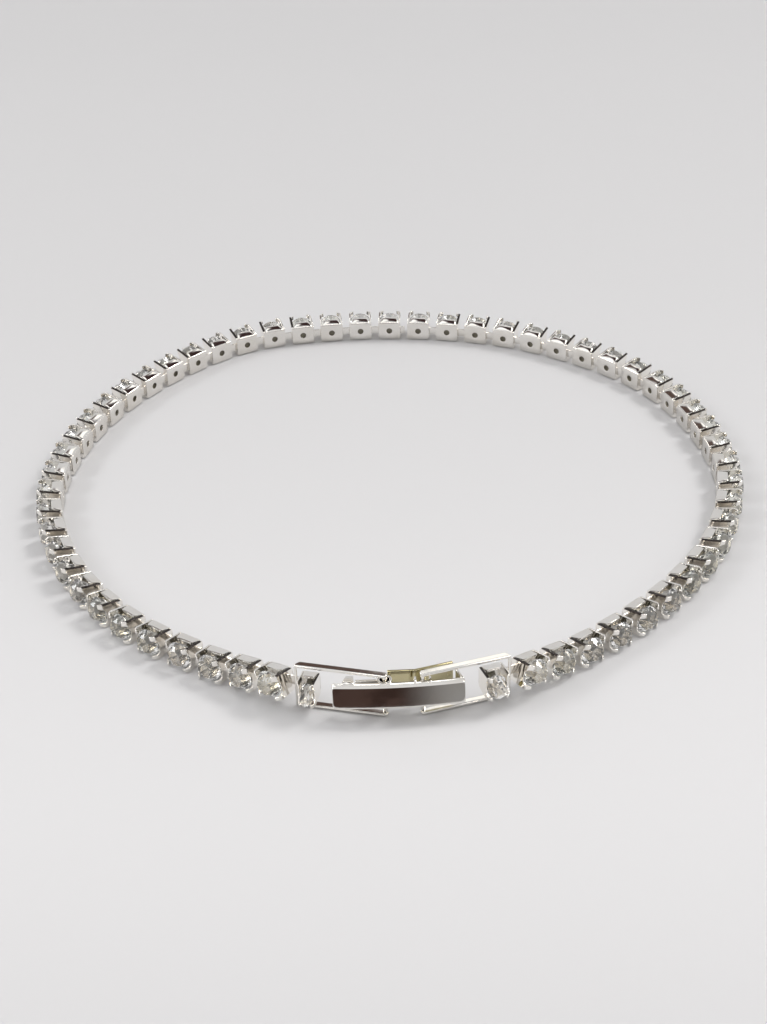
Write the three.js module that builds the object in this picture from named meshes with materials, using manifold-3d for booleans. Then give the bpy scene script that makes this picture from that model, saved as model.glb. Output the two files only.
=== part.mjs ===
// Tennis bracelet: a closed loop of round stones in open four-prong cups, lying on its side edge,
// with a fold-over clasp of two open frames and a swinging lever on the near side.
// Millimetres. +X runs along the clasp, +Y to the far side of the loop, +Z up from the table.
// The loop's axis is upright, and the origin is under the middle of its bounding box.
import * as THREE from 'three';
import { mergeVertices } from 'three/addons/utils/BufferGeometryUtils.js';
import Module from 'manifold-3d';

const wasm = await Module();
wasm.setup();

// Chain
const PITCH = 3.0;
const FREE_CUPS_LEFT = 29;
const FREE_CUPS_RIGHT = 27;

// One cup: back plate, two full end walls, two low side walls and four prongs
const CUP_LENGTH = 2.27;
const CUP_HEIGHT = 1.87;
const CUP_DEPTH = 2.2;
const PLATE_THICKNESS = 0.16;
const END_WALL_THICKNESS = 0.16;
const HOLE_DIAMETER = 0.58;
const HOLE_SIDES = 6;
const SIDE_WALL_DEPTH = 0.75;
const SIDE_WALL_THICKNESS = 0.14;
const SIDE_WALL_TAPER = 0.28;
const PRONG_LENGTH = 0.3;
const PRONG_HEIGHT = 0.32;
const PRONG_THICKNESS = 0.22;

// One stone: round cut with a table, crown and pavilion
const STONE_WIDTH = 2.0;
const STONE_FACETS = 8;
const TABLE_SHARE = 0.58;
const GIRDLE_DEPTH = 1.68;
const TABLE_DEPTH = 2.32;
const CULET_DEPTH = 0.45;
const STONE_SEAT = 0.025;

// Strip that joins neighbouring back plates
const STRIP_HEIGHT = 0.8;
const STRIP_THICKNESS = 0.15;
const STRIP_INSET = 0.2;
const STRIP_ROOT = 0.08;
const ROW_GAP = 0.3;

// Clasp frames: two rails, a strap at the chain end and a pin at the tips
const FRAME_HEIGHT = 3.95;
const FRAME_LENGTH = 7.05;
const RAIL_THICKNESS = 0.25;
const RAIL_INSET = 0.2;
const RAIL_DEPTH = 0.6;
const RAIL_TIP_CORNER = 0.18;
const STRAP_THICKNESS = 0.2;
const STRAP_CLEARANCE = 0.25;
const LEFT_FRAME_ANGLE = 15.4;
const RIGHT_FRAME_ANGLE = 14.6;
const TIP_GAP = 2.15;
const PIN_DIAMETER = 0.36;
const PIN_SIDES = 12;
const PIN_SETBACK = 0.25;
const PIN_DEPTH = 0.4;
const END_CUP_GAP = 0.26;
const LEFT_END_CUP_LENGTH = 1.35;
const RIGHT_END_CUP_LENGTH = 1.85;

// Clasp lever: curved front plate, knuckle on the left pin, hook over the right pin
const LEVER_HEIGHT = 1.9;
const LEVER_THICKNESS = 0.26;
const LEVER_TILT = 20;
const LEVER_RISE = 0.4;
const LEVER_LEFT_REACH = 4.3;
const LEVER_RIGHT_REACH = 3.5;
const LEVER_STANDOFF = 0.45;
const LEVER_BOW = 0.25;
const LEVER_STEPS = 10;
const LEVER_CORNER = 0.2;
const LEVER_LEAF_HEIGHT = 2.0;
const KNUCKLE_CLEARANCE = 0.2;
const KNUCKLE_THICKNESS = 0.18;
const KNUCKLE_SIDES = 12;
const HOOK_CLEARANCE = 0.28;
const HOOK_THICKNESS = 0.2;
const NOSE_SETBACK = 0.93;
const NOSE_WIDTH = 0.72;
const NOSE_LEAN = 0.3;
const NOSE_REACH = 1.15;
const LEAF_LENGTH = 1.45;
const LEAF_THICKNESS = 0.22;
const END_TAB_REACH = 1.2;
const END_TAB_LEAN = 0.45;

// Catch plate behind the lever, part of the right frame
const CATCH_HEIGHT = 1.9;
const CATCH_RISE = 0.45;
const CATCH_THICKNESS = 0.22;
const CATCH_INSET = 0.56;
const CATCH_LEFT_OVERHANG = 0.1;
const CATCH_RIGHT_LENGTH = 3.0;
const CATCH_STEM = 0.3;

// Lie of the loop: it rests on its lower edge, and the cups rise towards the taller clasp
const CUP_AXIS_HEIGHT = STONE_WIDTH / 2;
const CLASP_LIFT = FRAME_HEIGHT / 2 - CUP_AXIS_HEIGHT;
const LIFT_CUPS = 2.4;

// Chosen points of the loop as [degrees from the far middle, share of the loop's radius]
const LOOP_POINTS = [
  [-180, 1.1324], [-172, 1.0823], [-165, 1.0375], [-157.5, 0.9961], [-150, 0.9820], [-135, 0.9865],
  [-115, 0.9920], [-90, 1.0043], [-60, 1.0010], [-30, 1.0177], [-10, 0.9828], [15, 0.9691],
  [35, 0.9811], [60, 1.0050], [90, 1.0048], [112, 0.9891], [128, 0.9736], [140, 0.9723],
  [150, 0.9810], [158, 1.0049], [166, 1.0511], [180, 1.1323],
];
const LOOP_SAMPLES = 4000;
const START_ANGLE = 1.2;

const DEGREE = Math.PI / 180;

// Solid helpers
function toSolid(geometry) {
  const plain = geometry.clone();
  plain.deleteAttribute('normal');
  plain.deleteAttribute('uv');
  const merged = mergeVertices(plain, 1e-5);
  return new wasm.Manifold(new wasm.Mesh({
    numProp: 3,
    vertProperties: new Float32Array(merged.attributes.position.array),
    triVerts: new Uint32Array(merged.index.array),
  }));
}

function toGeometry(solid) {
  const mesh = solid.getMesh();
  const geometry = new THREE.BufferGeometry();
  geometry.setAttribute('position', new THREE.BufferAttribute(new Float32Array(mesh.vertProperties), 3));
  geometry.setIndex(new THREE.BufferAttribute(new Uint32Array(mesh.triVerts), 1));
  return geometry;
}

function unite(solids) {
  return solids.reduce((whole, solid) => whole.add(solid));
}

// A prism over a plan outline of [along, outward] points, between two heights
function planPrism(outline, low, high) {
  const shape = new THREE.Shape(outline.map(([along, outward]) => new THREE.Vector2(along, -outward)));
  const geometry = new THREE.ExtrudeGeometry(shape, { depth: high - low, bevelEnabled: false });
  geometry.translate(0, 0, low);
  return toSolid(geometry);
}

// A prism over a face outline of [along, up] points, between two depths
function facePrism(outline, near, far) {
  const shape = new THREE.Shape(outline.map(([along, up]) => new THREE.Vector2(along, up)));
  const geometry = new THREE.ExtrudeGeometry(shape, { depth: far - near, bevelEnabled: false });
  geometry.rotateX(90 * DEGREE);
  geometry.translate(0, -near, 0);
  return toSolid(geometry);
}

function block(alongLow, alongHigh, outLow, outHigh, low, high) {
  const outline = [[alongLow, outLow], [alongHigh, outLow], [alongHigh, outHigh], [alongLow, outHigh]];
  return planPrism(outline, low, high);
}

function circle(radius, sides, along, outward, turn = 0) {
  const points = [];
  for (let i = 0; i < sides; i += 1) {
    const angle = turn + (i * 2 * Math.PI) / sides;
    points.push([along + radius * Math.cos(angle), outward + radius * Math.sin(angle)]);
  }
  return points;
}

// In these helpers a piece's own axes are: along = +X, outward = -Y, up = +Z.
function place(solid, frame) {
  const geometry = toGeometry(solid);
  geometry.applyMatrix4(frame);
  return toSolid(geometry);
}

function frameAt(position, along, up) {
  const back = new THREE.Vector3().crossVectors(up, along).normalize();
  const top = new THREE.Vector3().crossVectors(along, back).normalize();
  return new THREE.Matrix4().makeBasis(along, back, top).setPosition(position);
}

// One stone with a flat table, a ring of crown facets and a pavilion that meets in a point
function stoneSolid(alongWidth) {
  const turn = Math.PI / STONE_FACETS;
  const ring = 1 / Math.cos(turn);
  const alongShare = (alongWidth / STONE_WIDTH);
  const vertices = [];
  for (let i = 0; i < STONE_FACETS; i += 1) {
    const angle = turn + (i * 2 * Math.PI) / STONE_FACETS;
    const along = (Math.cos(angle) * ring * STONE_WIDTH * alongShare) / 2;
    const up = (Math.sin(angle) * ring * STONE_WIDTH) / 2;
    vertices.push(along, -GIRDLE_DEPTH, up);
    vertices.push(along * TABLE_SHARE, -TABLE_DEPTH, up * TABLE_SHARE);
  }
  const culet = vertices.length / 3;
  vertices.push(0, -CULET_DEPTH, 0);
  const faces = [];
  for (let i = 0; i < STONE_FACETS; i += 1) {
    const girdle = 2 * i;
    const next = 2 * ((i + 1) % STONE_FACETS);
    faces.push(girdle, next, girdle + 1);
    faces.push(next, next + 1, girdle + 1);
    faces.push(next, girdle, culet);
  }
  for (let i = 1; i < STONE_FACETS - 1; i += 1) {
    faces.push(1, 2 * i + 1, 2 * (i + 1) + 1);
  }
  return new wasm.Manifold(new wasm.Mesh({
    numProp: 3,
    vertProperties: new Float32Array(vertices),
    triVerts: new Uint32Array(faces),
  }));
}

// One cup with its stone, centred on its axis, with the back plate's inner face at depth zero
function cupSolid(length) {
  const end = length / 2;
  const inner = end - END_WALL_THICKNESS;
  const tip = inner - PRONG_LENGTH;
  const prongBack = CUP_DEPTH - PRONG_THICKNESS;
  const top = CUP_HEIGHT / 2;
  const body = planPrism([
    [-end, 0], [end, 0], [end, CUP_DEPTH], [tip, CUP_DEPTH], [tip, prongBack], [inner, prongBack],
    [inner, PLATE_THICKNESS], [-inner, PLATE_THICKNESS], [-inner, prongBack], [-tip, prongBack],
    [-tip, CUP_DEPTH], [-end, CUP_DEPTH],
  ], -top, top);
  const prongGap = top - PRONG_HEIGHT;
  const between = block(-inner, inner, CUP_DEPTH / 2, CUP_DEPTH * 2, -prongGap, prongGap);
  const holeFace = circle(HOLE_DIAMETER / 2, HOLE_SIDES, 0, 0);
  const hole = facePrism(holeFace, -PLATE_THICKNESS, PLATE_THICKNESS * 2);
  const rim = inner - SIDE_WALL_TAPER;
  const sideWall = [
    [-inner, PLATE_THICKNESS / 2], [inner, PLATE_THICKNESS / 2], [inner, PLATE_THICKNESS],
    [rim, SIDE_WALL_DEPTH], [-rim, SIDE_WALL_DEPTH], [-inner, PLATE_THICKNESS],
  ];
  return unite([
    body.subtract(between).subtract(hole),
    planPrism(sideWall, top - SIDE_WALL_THICKNESS, top),
    planPrism(sideWall, -top, SIDE_WALL_THICKNESS - top),
    stoneSolid(2 * (inner + STONE_SEAT)),
  ]);
}

// The loop's route: a smooth line through the chosen points, for a given radius
function routeFor(radius) {
  const points = LOOP_POINTS.map(([angle, share]) => new THREE.Vector3(
    Math.sin(angle * DEGREE) * share * radius,
    Math.cos(angle * DEGREE) * share * radius,
    0,
  ));
  return new THREE.CatmullRomCurve3(points, false, 'centripetal').getPoints(LOOP_SAMPLES);
}

function liftOf(cupsToClasp) {
  const share = THREE.MathUtils.clamp(1 - (cupsToClasp + 0.5) / LIFT_CUPS, 0, 1);
  return CLASP_LIFT * share * share * (3 - 2 * share);
}

// Walks along the route from one sample, laying points at the chain's pitch
function layChain(route, start, step, count) {
  const laid = [route[start].clone()];
  laid[0].z = liftOf(count - 1);
  let index = start;
  for (let i = 1; i <= count; i += 1) {
    const share = i === count ? 0.5 : 1;
    const height = i === count ? CLASP_LIFT : liftOf(count - 1 - i);
    const last = laid[laid.length - 1];
    const reach = Math.sqrt((PITCH * share) ** 2 - (height - last.z) ** 2);
    const flat = new THREE.Vector3(last.x, last.y, 0);
    while (index + step > 0 && index + step < route.length - 1
      && route[index + step].distanceTo(flat) < reach) {
      index += step;
    }
    const near = route[index].distanceTo(flat);
    const far = route[index + step].distanceTo(flat);
    const point = route[index].clone().lerp(route[index + step], (reach - near) / (far - near));
    point.z = height;
    laid.push(point);
  }
  return laid;
}

// Clasp plan in its own axes: the left tip at the origin and the right tip TIP_GAP along
const leftRoot = new THREE.Vector2(
  -FRAME_LENGTH * Math.cos(LEFT_FRAME_ANGLE * DEGREE),
  FRAME_LENGTH * Math.sin(LEFT_FRAME_ANGLE * DEGREE),
);
const rightRoot = new THREE.Vector2(
  TIP_GAP + FRAME_LENGTH * Math.cos(RIGHT_FRAME_ANGLE * DEGREE),
  FRAME_LENGTH * Math.sin(RIGHT_FRAME_ANGLE * DEGREE),
);
const rootSpan = leftRoot.distanceTo(rightRoot);

function chainFor(radius) {
  const route = routeFor(radius);
  let start = 0;
  let best = Infinity;
  route.forEach((point, i) => {
    const miss = Math.abs(Math.atan2(point.x, point.y) - START_ANGLE * DEGREE);
    if (miss < best && point.y > 0) {
      best = miss;
      start = i;
    }
  });
  const left = layChain(route, start, -1, FREE_CUPS_LEFT);
  const right = layChain(route, start, 1, FREE_CUPS_RIGHT + 1);
  return { left, right };
}

// The loop's radius is the one at which the two chain ends stand a clasp apart
function closedChain() {
  const length = (FREE_CUPS_LEFT + FREE_CUPS_RIGHT) * PITCH + rootSpan;
  let low = (length / (2 * Math.PI)) * 0.9;
  let high = (length / (2 * Math.PI)) * 1.15;
  for (let i = 0; i < 40; i += 1) {
    const middle = (low + high) / 2;
    const chain = chainFor(middle);
    const span = chain.left[chain.left.length - 1].distanceTo(chain.right[chain.right.length - 1]);
    if (span < rootSpan) {
      low = middle;
    } else {
      high = middle;
    }
  }
  return chainFor((low + high) / 2);
}

const chain = closedChain();
const leftAnchor = chain.left[chain.left.length - 1];
const rightAnchor = chain.right[chain.right.length - 1];

// Places of the clasp and its two frames in the loop's axes
const claspTurn = Math.atan2(rightAnchor.y - leftAnchor.y, rightAnchor.x - leftAnchor.x)
  - Math.atan2(rightRoot.y - leftRoot.y, rightRoot.x - leftRoot.x);
const claspOrigin = new THREE.Vector3(
  leftAnchor.x - leftRoot.x * Math.cos(claspTurn) + leftRoot.y * Math.sin(claspTurn),
  leftAnchor.y - leftRoot.x * Math.sin(claspTurn) - leftRoot.y * Math.cos(claspTurn),
  FRAME_HEIGHT / 2,
);
const UP = new THREE.Vector3(0, 0, 1);

function turned(angle) {
  return new THREE.Vector3(Math.cos(angle), Math.sin(angle), 0);
}

const claspFrame = frameAt(claspOrigin, turned(claspTurn), UP);
const leftTip = claspOrigin.clone();
const rightTip = claspOrigin.clone().addScaledVector(turned(claspTurn), TIP_GAP);
const leftAlong = turned(claspTurn - LEFT_FRAME_ANGLE * DEGREE);
const rightAlong = turned(claspTurn + RIGHT_FRAME_ANGLE * DEGREE);
const leftFrame = frameAt(leftTip, leftAlong, UP);
const rightFrame = frameAt(rightTip, rightAlong, UP);

// Chain cups: every cup faces outward and follows the slope between its neighbours
const freeCup = cupSolid(CUP_LENGTH);

function cupFrame(before, middle, after) {
  const along = new THREE.Vector3().subVectors(after, before).normalize();
  const position = middle.clone();
  position.z += CUP_AXIS_HEIGHT;
  return frameAt(position, along, UP);
}

// The left cups run from the far middle to the clasp, the right cups from the clasp to the far middle
const leftCups = [];
for (let i = 0; i < FREE_CUPS_LEFT; i += 1) {
  const before = i === 0 ? chain.right[1] : chain.left[i - 1];
  leftCups.push(cupFrame(before, chain.left[i], chain.left[i + 1]));
}
const rightCups = [];
for (let i = FREE_CUPS_RIGHT; i > 0; i -= 1) {
  rightCups.push(cupFrame(chain.right[i + 1], chain.right[i], chain.right[i - 1]));
}

// End cups sit inside the frames, next to the strap, on the frame's own line
const strapHalf = STRAP_THICKNESS / 2;
const leftEndMiddle = -FRAME_LENGTH + strapHalf + END_CUP_GAP + LEFT_END_CUP_LENGTH / 2;
const rightEndMiddle = FRAME_LENGTH - strapHalf - END_CUP_GAP - RIGHT_END_CUP_LENGTH / 2;
const leftEndCup = leftFrame.clone().multiply(new THREE.Matrix4().makeTranslation(leftEndMiddle, 0, 0));
const rightEndCup = rightFrame.clone().multiply(new THREE.Matrix4().makeTranslation(rightEndMiddle, 0, 0));

// A flat strip between two cups, given by the two frames and how far along each it starts and stops
function stripSolid(fromFrame, fromAlong, toFrame, toAlong) {
  const outward = STRIP_INSET + STRIP_THICKNESS / 2;
  const start = new THREE.Vector3(fromAlong, -outward, 0).applyMatrix4(fromFrame);
  const end = new THREE.Vector3(toAlong, -outward, 0).applyMatrix4(toFrame);
  const along = new THREE.Vector3().subVectors(end, start);
  const half = STRIP_THICKNESS / 2;
  const strip = block(0, along.length(), -half, half, -STRIP_HEIGHT / 2, STRIP_HEIGHT / 2);
  return place(strip, frameAt(start, along.normalize(), UP));
}

const cupEnd = CUP_LENGTH / 2 - STRIP_ROOT;

function rowSolid(frames, endFrame, endLength, endIsLast) {
  const endReach = endLength / 2 - STRIP_ROOT;
  const pieces = frames.map((frame) => place(freeCup, frame));
  pieces.push(place(cupSolid(endLength), endFrame));
  for (let i = 1; i < frames.length; i += 1) {
    pieces.push(stripSolid(frames[i - 1], cupEnd, frames[i], -cupEnd));
  }
  if (endIsLast) {
    pieces.push(stripSolid(frames[frames.length - 1], cupEnd, endFrame, -endReach));
  } else {
    pieces.push(stripSolid(endFrame, endReach, frames[0], -cupEnd));
  }
  return unite(pieces);
}

// The left row carries the strip that points across the far middle to the right row
const meetingStrip = stripSolid(
  rightCups[rightCups.length - 1],
  CUP_LENGTH / 2 + ROW_GAP,
  leftCups[0],
  -cupEnd,
);
const leftRow = unite([rowSolid(leftCups, leftEndCup, LEFT_END_CUP_LENGTH, true), meetingStrip]);
const rightRow = rowSolid(rightCups, rightEndCup, RIGHT_END_CUP_LENGTH, false);

// Clasp frames, built from the tip towards the chain
const railOuter = RAIL_INSET + RAIL_DEPTH;
const strapInner = STRIP_INSET + STRIP_THICKNESS + STRAP_CLEARANCE;
const frameHalf = FRAME_HEIGHT / 2;
const railMiddle = frameHalf - RAIL_THICKNESS / 2;

// The way is +1 for a frame that reaches to +along from its tip, -1 for one that reaches to -along
function frameSolid(way) {
  const root = way * (FRAME_LENGTH + strapHalf);
  const tip = way * RAIL_TIP_CORNER;
  const rail = [
    [0, RAIL_INSET + RAIL_TIP_CORNER], [tip, RAIL_INSET], [root, RAIL_INSET],
    [root, railOuter], [tip, railOuter], [0, railOuter - RAIL_TIP_CORNER],
  ];
  const strapStart = Math.min(root, root - way * STRAP_THICKNESS);
  const pin = circle(PIN_DIAMETER / 2, PIN_SIDES, way * PIN_SETBACK, PIN_DEPTH);
  return unite([
    planPrism(rail, frameHalf - RAIL_THICKNESS, frameHalf),
    planPrism(rail, -frameHalf, RAIL_THICKNESS - frameHalf),
    block(strapStart, strapStart + STRAP_THICKNESS, strapInner, railOuter, -frameHalf, frameHalf),
    planPrism(pin, -railMiddle, railMiddle),
  ]);
}

// Points of the frames in the clasp's plan axes, as [along, outward]
function onLeftFrame(along, outward) {
  const angle = LEFT_FRAME_ANGLE * DEGREE;
  return [
    along * Math.cos(angle) - outward * Math.sin(angle),
    along * Math.sin(angle) + outward * Math.cos(angle),
  ];
}

function onRightFrame(along, outward) {
  const angle = RIGHT_FRAME_ANGLE * DEGREE;
  return [
    TIP_GAP + along * Math.cos(angle) + outward * Math.sin(angle),
    outward * Math.cos(angle) - along * Math.sin(angle),
  ];
}

const leftPin = onLeftFrame(-PIN_SETBACK, PIN_DEPTH);
const rightPin = onRightFrame(PIN_SETBACK, PIN_DEPTH);

// Catch plate: a bent plate behind the lever, on a stem from the right pin
function catchSolid() {
  const back = CATCH_INSET + CATCH_THICKNESS;
  const bend = onRightFrame(0, -CATCH_INSET);
  const bendBack = onRightFrame(0, -back);
  const end = onRightFrame(CATCH_RIGHT_LENGTH, -CATCH_INSET);
  const endBack = onRightFrame(CATCH_RIGHT_LENGTH, -back);
  const plate = [
    [-CATCH_LEFT_OVERHANG, -CATCH_INSET], [bend[0], bend[1]], [end[0], end[1]],
    [endBack[0], endBack[1]], [bendBack[0], bendBack[1]], [-CATCH_LEFT_OVERHANG, -back],
  ];
  const half = CATCH_HEIGHT / 2;
  const stemBack = -CATCH_INSET - CATCH_THICKNESS / 2;
  return unite([
    planPrism(plate, -half, half),
    block(rightPin[0] - CATCH_STEM / 2, rightPin[0] + CATCH_STEM / 2, stemBack, rightPin[1], -half, half),
  ]);
}

// Lever: the front plate bows outward between its two ends
const leverLeft = -LEVER_LEFT_REACH;
const leverRight = TIP_GAP + LEVER_RIGHT_REACH;
const leverMiddle = (leverLeft + leverRight) / 2;
const leverHalfLength = (leverRight - leverLeft) / 2;

function leverFace(along) {
  const share = (along - leverMiddle) / leverHalfLength;
  return railOuter + LEVER_STANDOFF - LEVER_BOW * share * share;
}

function leverSolid() {
  const front = [];
  const back = [];
  for (let i = 0; i <= LEVER_STEPS; i += 1) {
    const along = leverLeft + ((leverRight - leverLeft) * i) / LEVER_STEPS;
    front.push([along, leverFace(along)]);
    back.unshift([along, leverFace(along) - LEVER_THICKNESS]);
  }
  const half = LEVER_HEIGHT / 2;
  const face = [
    [leverLeft, LEVER_CORNER - half], [leverLeft + LEVER_CORNER, -half],
    [leverRight - LEVER_CORNER, -half], [leverRight, LEVER_CORNER - half],
    [leverRight, half - LEVER_CORNER], [leverRight - LEVER_CORNER, half],
    [leverLeft + LEVER_CORNER, half], [leverLeft, half - LEVER_CORNER],
  ];
  const facePlate = facePrism(face, -FRAME_HEIGHT, FRAME_HEIGHT);
  const tilt = new THREE.Matrix4().makeShear(0, 0, 0, 0, 0, Math.tan(LEVER_TILT * DEGREE));
  tilt.scale(new THREE.Vector3(1, 1, Math.cos(LEVER_TILT * DEGREE)));
  const plate = place(planPrism([...front, ...back], -half, half).intersect(facePlate), tilt);
  const ahead = [...front, [leverRight, FRAME_LENGTH], [leverLeft, FRAME_LENGTH]];
  const inFront = place(planPrism(ahead, -FRAME_HEIGHT, FRAME_HEIGHT), tilt);
  const leaf = LEVER_LEAF_HEIGHT / 2;
  const bore = PIN_DIAMETER / 2 + KNUCKLE_CLEARANCE;
  const knuckleRadius = bore + KNUCKLE_THICKNESS;
  const knuckle = planPrism(circle(knuckleRadius, KNUCKLE_SIDES, leftPin[0], leftPin[1]), -leaf, leaf)
    .subtract(planPrism(circle(bore, KNUCKLE_SIDES, leftPin[0], leftPin[1]), -FRAME_HEIGHT, FRAME_HEIGHT));
  const inside = (along) => leverFace(along) - LEVER_THICKNESS / 2;
  const leafEnd = leftPin[0] - bore - KNUCKLE_THICKNESS / 2;
  const leafStart = leafEnd - LEAF_LENGTH + bore;
  const noseStart = leverLeft + NOSE_SETBACK;
  const noseBack = leverFace(noseStart) - LEVER_THICKNESS - NOSE_REACH;
  const nose = [
    [noseStart - NOSE_LEAN, inside(noseStart)], [noseStart + NOSE_WIDTH, inside(noseStart)],
    [noseStart + NOSE_WIDTH, noseBack], [noseStart, noseBack],
  ];
  const tabFoot = leverRight - LEVER_THICKNESS;
  const tabBack = leverFace(leverRight) - LEVER_THICKNESS - END_TAB_REACH;
  const tab = [
    [tabFoot, inside(tabFoot)], [leverRight, inside(leverRight)],
    [leverRight - END_TAB_LEAN, tabBack], [leverRight - END_TAB_LEAN - HOOK_THICKNESS, tabBack],
  ];
  const pieces = [
    knuckle,
    block(leafStart, leafEnd, leftPin[1] - LEAF_THICKNESS / 2, leftPin[1] + LEAF_THICKNESS / 2, -leaf, leaf),
    planPrism(nose, -leaf, leaf),
    planPrism(tab, -leaf, leaf),
  ];
  const legStep = PIN_DIAMETER / 2 + HOOK_CLEARANCE;
  for (const side of [-1, 1]) {
    const near = rightPin[0] + side * legStep;
    const far = near + side * HOOK_THICKNESS;
    const low = Math.min(near, far);
    pieces.push(block(low, low + HOOK_THICKNESS, rightPin[1] - PIN_DIAMETER / 2, inside(near), -leaf, leaf));
  }
  return unite([plate, unite(pieces).subtract(inFront)]);
}

const leftFrameSolid = place(frameSolid(-1), leftFrame);
const catchPiece = place(catchSolid().translate([0, 0, CATCH_RISE]), claspFrame);
const rightFrameSolid = unite([place(frameSolid(1), rightFrame), catchPiece]);
const leverPiece = place(leverSolid().translate([0, 0, LEVER_RISE]), claspFrame);

// The finished group, moved so that its origin is under the middle of its bounding box
const SILVER = { color: 0xd8d6d2, roughness: 0.22, metalness: 1.0 };
const POLISHED = { color: 0xcfcac4, roughness: 0.12, metalness: 1.0 };

const nodes = [
  ['stone_row_left', leftRow, SILVER],
  ['stone_row_right', rightRow, SILVER],
  ['left_frame', leftFrameSolid, POLISHED],
  ['right_frame', rightFrameSolid, POLISHED],
  ['clasp_lever', leverPiece, POLISHED],
];

const group = new THREE.Group();
group.name = 'tennis_bracelet';
for (const [name, solid, look] of nodes) {
  const mesh = new THREE.Mesh(toGeometry(solid), new THREE.MeshStandardMaterial(look));
  mesh.name = name;
  group.add(mesh);
}

const bounds = new THREE.Box3().setFromObject(group);
const shift = bounds.getCenter(new THREE.Vector3()).negate();
shift.z = -bounds.min.z;
for (const mesh of group.children) {
  mesh.geometry.translate(shift.x, shift.y, shift.z);
}

export default group;
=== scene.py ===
"""Tennis bracelet: builds the looks of the bracelet round its fixed frame."""
import math
from types import SimpleNamespace

import bmesh
import bpy
import numpy as np
from mathutils import Matrix, Vector


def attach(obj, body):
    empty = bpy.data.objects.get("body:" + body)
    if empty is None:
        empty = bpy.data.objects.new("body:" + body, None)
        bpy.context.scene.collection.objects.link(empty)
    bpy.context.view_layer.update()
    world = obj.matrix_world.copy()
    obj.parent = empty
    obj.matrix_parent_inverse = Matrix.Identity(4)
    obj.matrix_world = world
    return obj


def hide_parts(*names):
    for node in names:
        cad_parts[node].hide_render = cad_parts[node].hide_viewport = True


bl_info = {
    "name": "Tennis Bracelet",
    "version": (1, 0, 0),
    "blender": (4, 5, 0),
    "location": "3D View > Sidebar > Bracelet",
    "description": "Builds a cup-chain tennis bracelet with its clasp and stage",
    "category": "Object",
}

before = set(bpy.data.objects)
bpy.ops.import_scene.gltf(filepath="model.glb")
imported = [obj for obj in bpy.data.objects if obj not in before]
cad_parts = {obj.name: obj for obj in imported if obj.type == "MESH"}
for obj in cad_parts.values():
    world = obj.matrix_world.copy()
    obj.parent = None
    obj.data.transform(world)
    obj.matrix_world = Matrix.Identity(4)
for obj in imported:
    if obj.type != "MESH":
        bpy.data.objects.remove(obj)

MM = 0.001
DEGREE = math.pi / 180

# Body names of the frame
CHAIN_BODY = "bracelet"
LEVER_BODY = "lever"

# Cups of each row as (x, y, z of the back plate's middle in mm, heading, slope in degrees),
# from the far middle to the clasp on the left and from the clasp to the far middle on the right
LEFT_CUPS = [
    (0.602, 29.404, 1.020, 176.49, 0.00),
    (-2.397, 29.483, 1.020, -179.25, 0.00),
    (-5.393, 29.326, 1.020, -175.22, 0.00),
    (-8.373, 28.984, 1.020, -170.72, 0.00),
    (-11.308, 28.359, 1.020, -163.31, 0.00),
    (-14.102, 27.267, 1.020, -153.18, 0.00),
    (-16.638, 25.664, 1.020, -143.90, 0.00),
    (-18.939, 23.739, 1.020, -137.36, 0.00),
    (-21.046, 21.604, 1.020, -132.24, 0.00),
    (-22.969, 19.301, 1.020, -127.38, 0.00),
    (-24.685, 16.840, 1.020, -121.93, 0.00),
    (-26.138, 14.216, 1.020, -116.02, 0.00),
    (-27.314, 11.456, 1.020, -110.51, 0.00),
    (-28.239, 8.602, 1.020, -105.49, 0.00),
    (-28.914, 5.679, 1.020, -100.32, 0.00),
    (-29.312, 2.705, 1.020, -94.23, 0.00),
    (-29.356, -0.294, 1.020, -86.75, 0.00),
    (-28.973, -3.270, 1.020, -79.35, 0.00),
    (-28.250, -6.181, 1.020, -73.39, 0.00),
    (-27.260, -9.013, 1.020, -68.47, 0.00),
    (-26.049, -11.758, 1.020, -62.98, 0.00),
    (-24.539, -14.350, 1.020, -56.65, 0.00),
    (-22.755, -16.762, 1.020, -50.94, 0.00),
    (-20.762, -19.004, 1.020, -45.05, 0.00),
    (-18.523, -21.001, 1.020, -38.29, 0.00),
    (-16.061, -22.715, 1.020, -34.14, 0.00),
    (-13.557, -24.368, 1.020, -32.85, 2.95),
    (-11.033, -25.960, 1.329, -34.36, 8.31),
    (-8.664, -27.714, 1.886, -35.72, 8.53),
]
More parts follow.
